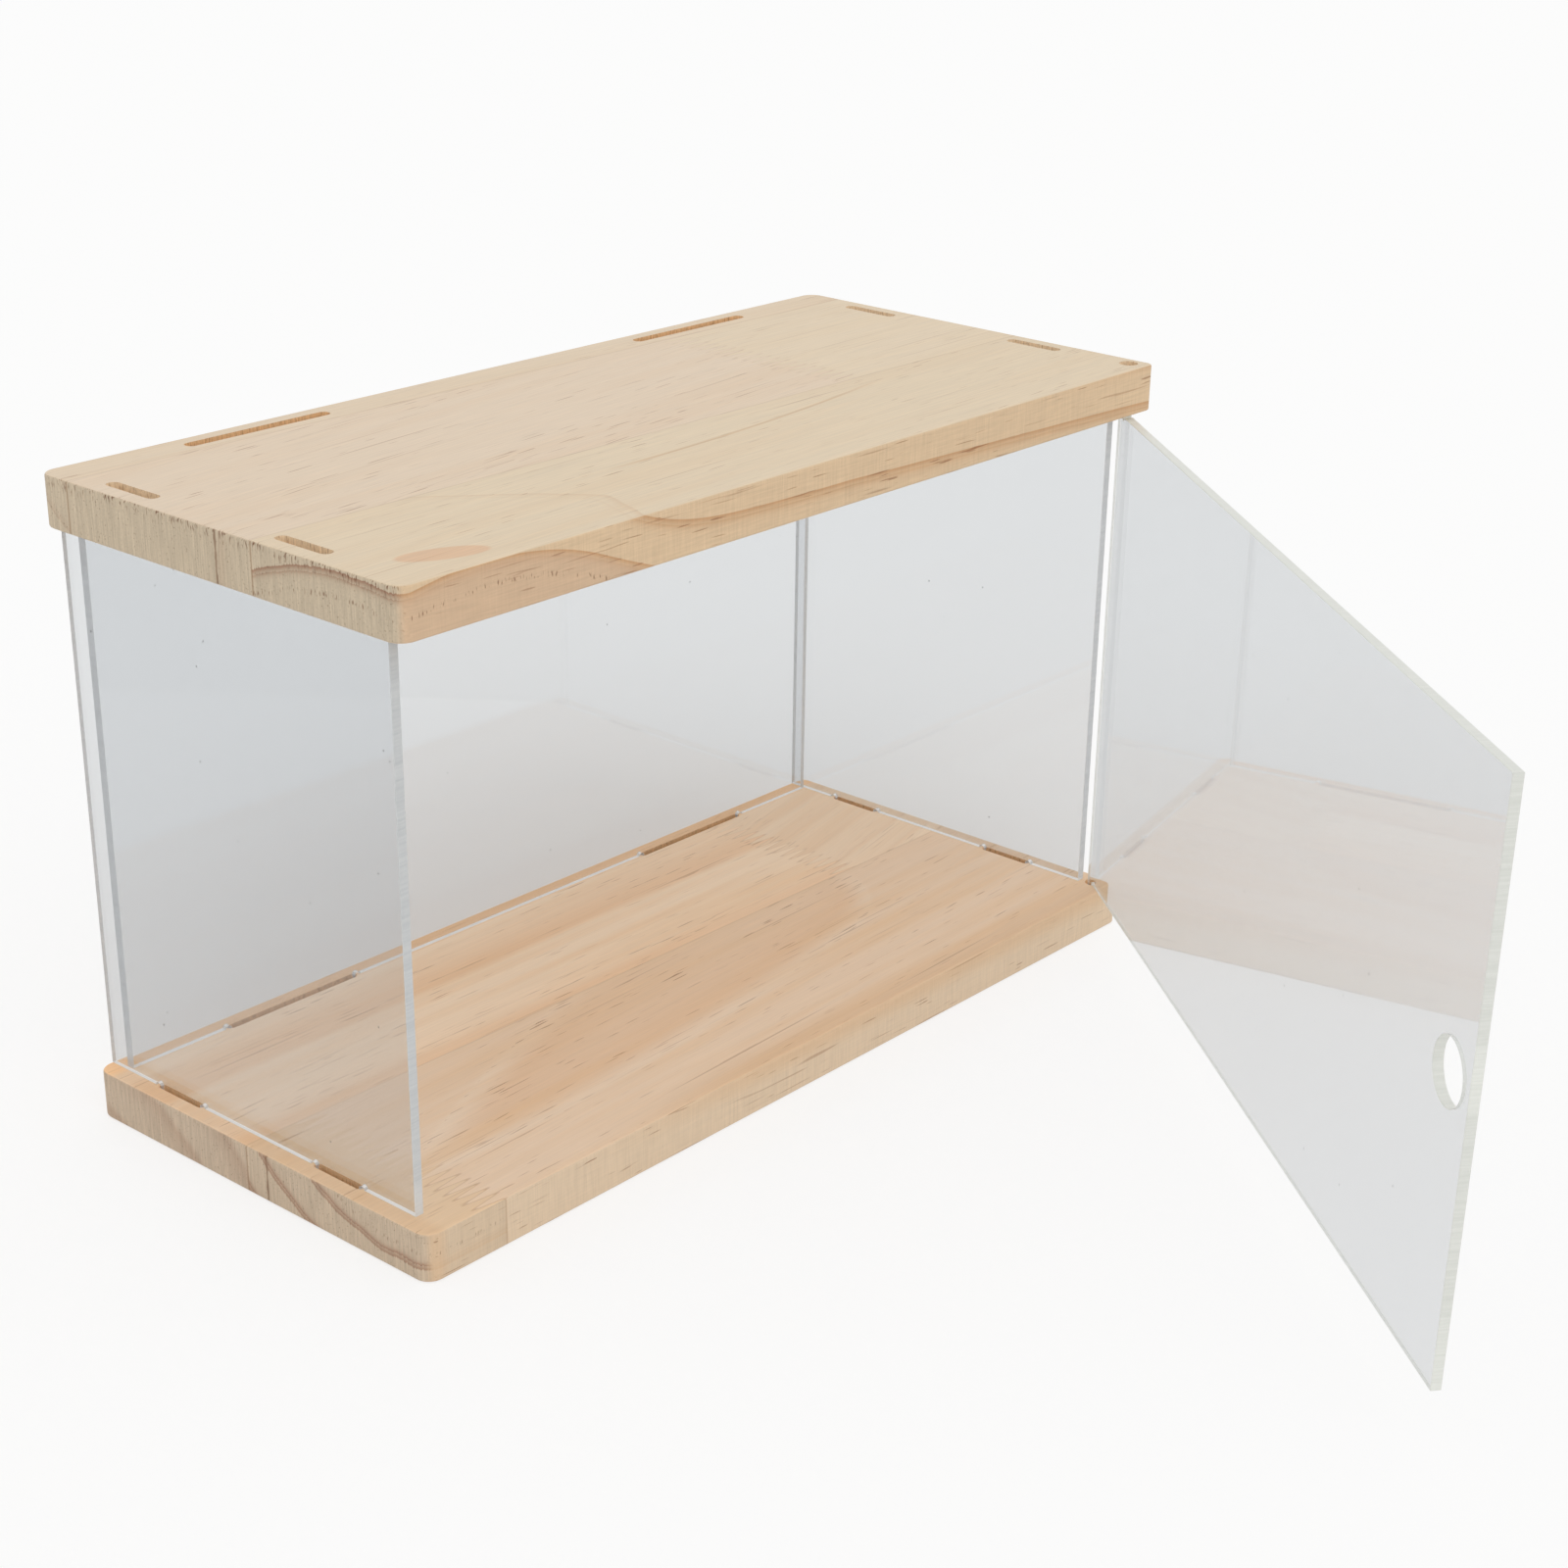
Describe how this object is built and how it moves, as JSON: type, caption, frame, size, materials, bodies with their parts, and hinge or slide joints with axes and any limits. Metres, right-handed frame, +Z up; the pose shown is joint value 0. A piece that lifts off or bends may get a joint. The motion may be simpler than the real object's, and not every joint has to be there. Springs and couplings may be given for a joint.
{
  "type": "display case",
  "caption": "Low clear display case for figures: tabbed acrylic sheets stand in slots of pale pine top and bottom boards, and the front sheet is a door that swings on pivot tabs.",
  "frame": {"origin": "middle of the bottom board's underside, on the surface the case stands on", "axes": "+X along the boards to the right, seen from the door side; +Y from the door side to the back; +Z up"},
  "size_m": [0.32, 0.3818, 0.196],
  "materials": {
    "pine": "bare sanded pine, edge-glued, end grain sawn",
    "clear_acrylic": "clear cast sheet with polished faces and frosted sawn edges"
  },
  "bodies": {
    "case": {"top_rear_stave": "pine", "top_middle_left": "pine", "top_middle_right": "pine", "top_front_stave": "pine", "bottom_rear_left": "pine", "bottom_rear_right": "pine", "bottom_front_left": "pine", "bottom_front_right": "pine", "left_panel": "clear_acrylic", "right_panel": "clear_acrylic", "back_panel": "clear_acrylic"},
    "door": {"door": "clear_acrylic"}
  },
  "joints": [
    {"name": "door_pivot", "type": "hinge", "parent": "case", "child": "door", "pos_m": [0.1545, -0.066, 0.098], "axis": [0, 0, 1], "range_deg": [-51, 194]}
  ]
}
